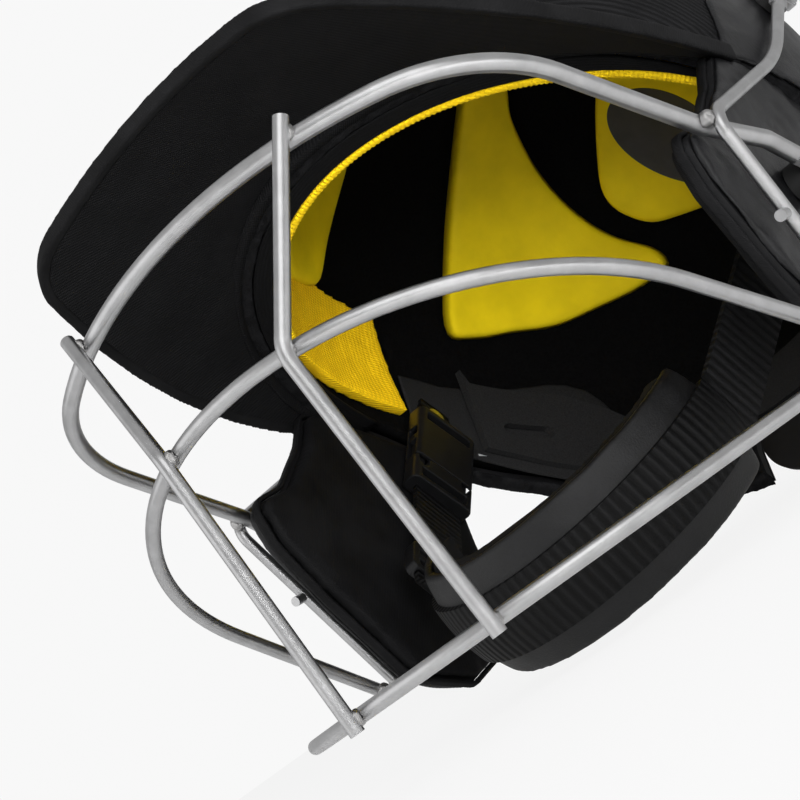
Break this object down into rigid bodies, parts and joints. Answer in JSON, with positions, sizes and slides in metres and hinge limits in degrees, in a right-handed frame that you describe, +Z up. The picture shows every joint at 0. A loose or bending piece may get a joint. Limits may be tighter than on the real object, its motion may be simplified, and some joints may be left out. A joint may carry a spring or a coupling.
{
  "type": "cricket helmet",
  "caption": "Black cloth-covered cricket helmet with a peak, steel bar faceguard, ear guards, yellow comfort pads, size dial and a chin strap with a side-release buckle.",
  "frame": {"origin": "centre of the bounding box's footprint, on the floor the helmet stands on", "axes": "+Z up, -Y the way the wearer faces, +X to the wearer's left; the helmet is tipped back 28.8 degrees as in the picture"},
  "size_m": [0.2032, 0.3092, 0.207],
  "materials": {
    "black_cloth": "black twill cloth",
    "fleece": "brushed black cloth",
    "elastic": "ribbed black elastic",
    "webbing": "ribbed black webbing",
    "yellow_knit": "yellow knitted cloth",
    "yellow_foam": "smooth yellow foam skin",
    "shell_plastic": "black moulded plastic",
    "black_foam": "black closed foam",
    "black_leather": "glossy creased leather",
    "lining": "smooth black lining",
    "buckle_plastic": "black nylon",
    "steel": "satin steel",
    "label": "plain black disc",
    "spacer_rubber": "black rubber",
    "grey_plastic": "grey plastic strip"
  },
  "bodies": {
    "helmet": {"adjuster_strip_left": "grey_plastic", "adjuster_strip_right": "grey_plastic", "brow_elastic": "elastic", "crown_button": "black_cloth", "crown_pad": "yellow_foam", "ear_cover_left": "black_leather", "ear_cover_right": "black_leather", "ear_flap_left": "black_leather", "ear_flap_right": "black_leather", "ear_pad_left": "lining", "ear_pad_right": "lining", "ear_piping_left": "lining", "ear_piping_right": "lining", "ear_plate_left": "shell_plastic", "ear_plate_right": "shell_plastic", "foam_liner": "black_foam", "guard_nuts": "steel", "guard_pegs": "steel", "guard_screws": "steel", "guard_spacers": "spacer_rubber", "guard_washers": "steel", "lowest_bar": "steel", "middle_bar": "steel", "pad_label_disc": "label", "peak_binding": "lining", "peak_core": "shell_plastic", "peak_lower_cloth": "black_cloth", "peak_upper_cloth": "black_cloth", "pivot_rivets": "steel", "rear_pad": "yellow_foam", "rim_trim": "fleece", "shell": "shell_plastic", "shell_cover": "black_cloth", "side_pad_left": "yellow_foam", "side_pad_right": "yellow_foam", "side_rod_left": "steel", "side_rod_right": "steel", "strip_rivets": "grey_plastic", "strut_left": "steel", "strut_right": "steel", "sweatband": "yellow_knit", "sweatband_edge": "yellow_knit", "top_bar": "steel", "weld_beads": "steel"},
    "adjuster": {"cradle": "shell_plastic", "dial_housing": "shell_plastic"},
    "dial": {"size_dial": "shell_plastic"},
    "chin_strap": {"strap_hanger_left": "webbing", "strap_hanger_right": "webbing", "webbing_left": "webbing", "webbing_right": "webbing", "chin_cup": "black_leather", "chin_cup_pad": "lining", "cup_webbing": "webbing", "buckle_socket": "buckle_plastic"},
    "slider": {"ladder_slider": "buckle_plastic"},
    "plug": {"buckle_plug": "buckle_plastic"},
    "prong_a": {"prong_rear": "buckle_plastic"},
    "prong_b": {"prong_front": "buckle_plastic"}
  },
  "joints": [
    {"name": "strap_swing", "type": "hinge", "parent": "helmet", "child": "chin_strap", "pos_m": [0, 0.05657, 0.08844], "axis": [1, 0, 0], "range_deg": [-5, 12]},
    {"name": "cradle_slide", "type": "slide", "parent": "helmet", "child": "adjuster", "axis": [0, -0.8766, 0.4811], "range_m": [0, 0.008]},
    {"name": "dial_turn", "type": "hinge", "parent": "adjuster", "child": "dial", "pos_m": [0, 0.11613, 0.01355], "axis": [0, -0.8766, 0.4811], "range_deg": [0, 155]},
    {"name": "plug_slide", "type": "slide", "parent": "chin_strap", "child": "plug", "axis": [0, -0.8267, -0.5627], "range_m": [0, 0.014], "deforming": ["webbing_right"]},
    {"name": "slider_slide", "type": "slide", "parent": "chin_strap", "child": "slider", "axis": [-0.227, 0.8622, 0.4529], "range_m": [0, 0.012]},
    {"name": "prong_rear_flex", "type": "hinge", "parent": "plug", "child": "prong_a", "pos_m": [-0.0748, 0.03229, 0.06103], "axis": [1, 0, 0], "range_deg": [0, 6], "stiffness_Nm_per_rad": 0.1},
    {"name": "prong_front_flex", "type": "hinge", "parent": "plug", "child": "prong_b", "pos_m": [-0.0748, 0.02216, 0.07591], "axis": [1, 0, 0], "range_deg": [-6, 0], "stiffness_Nm_per_rad": 0.1}
  ],
  "couplings": [
    {"joint": "dial_turn", "follows": "cradle_slide", "rad_per_m": 327.25},
    {"joint": "prong_front_flex", "follows": "prong_rear_flex", "ratio": -1}
  ]
}
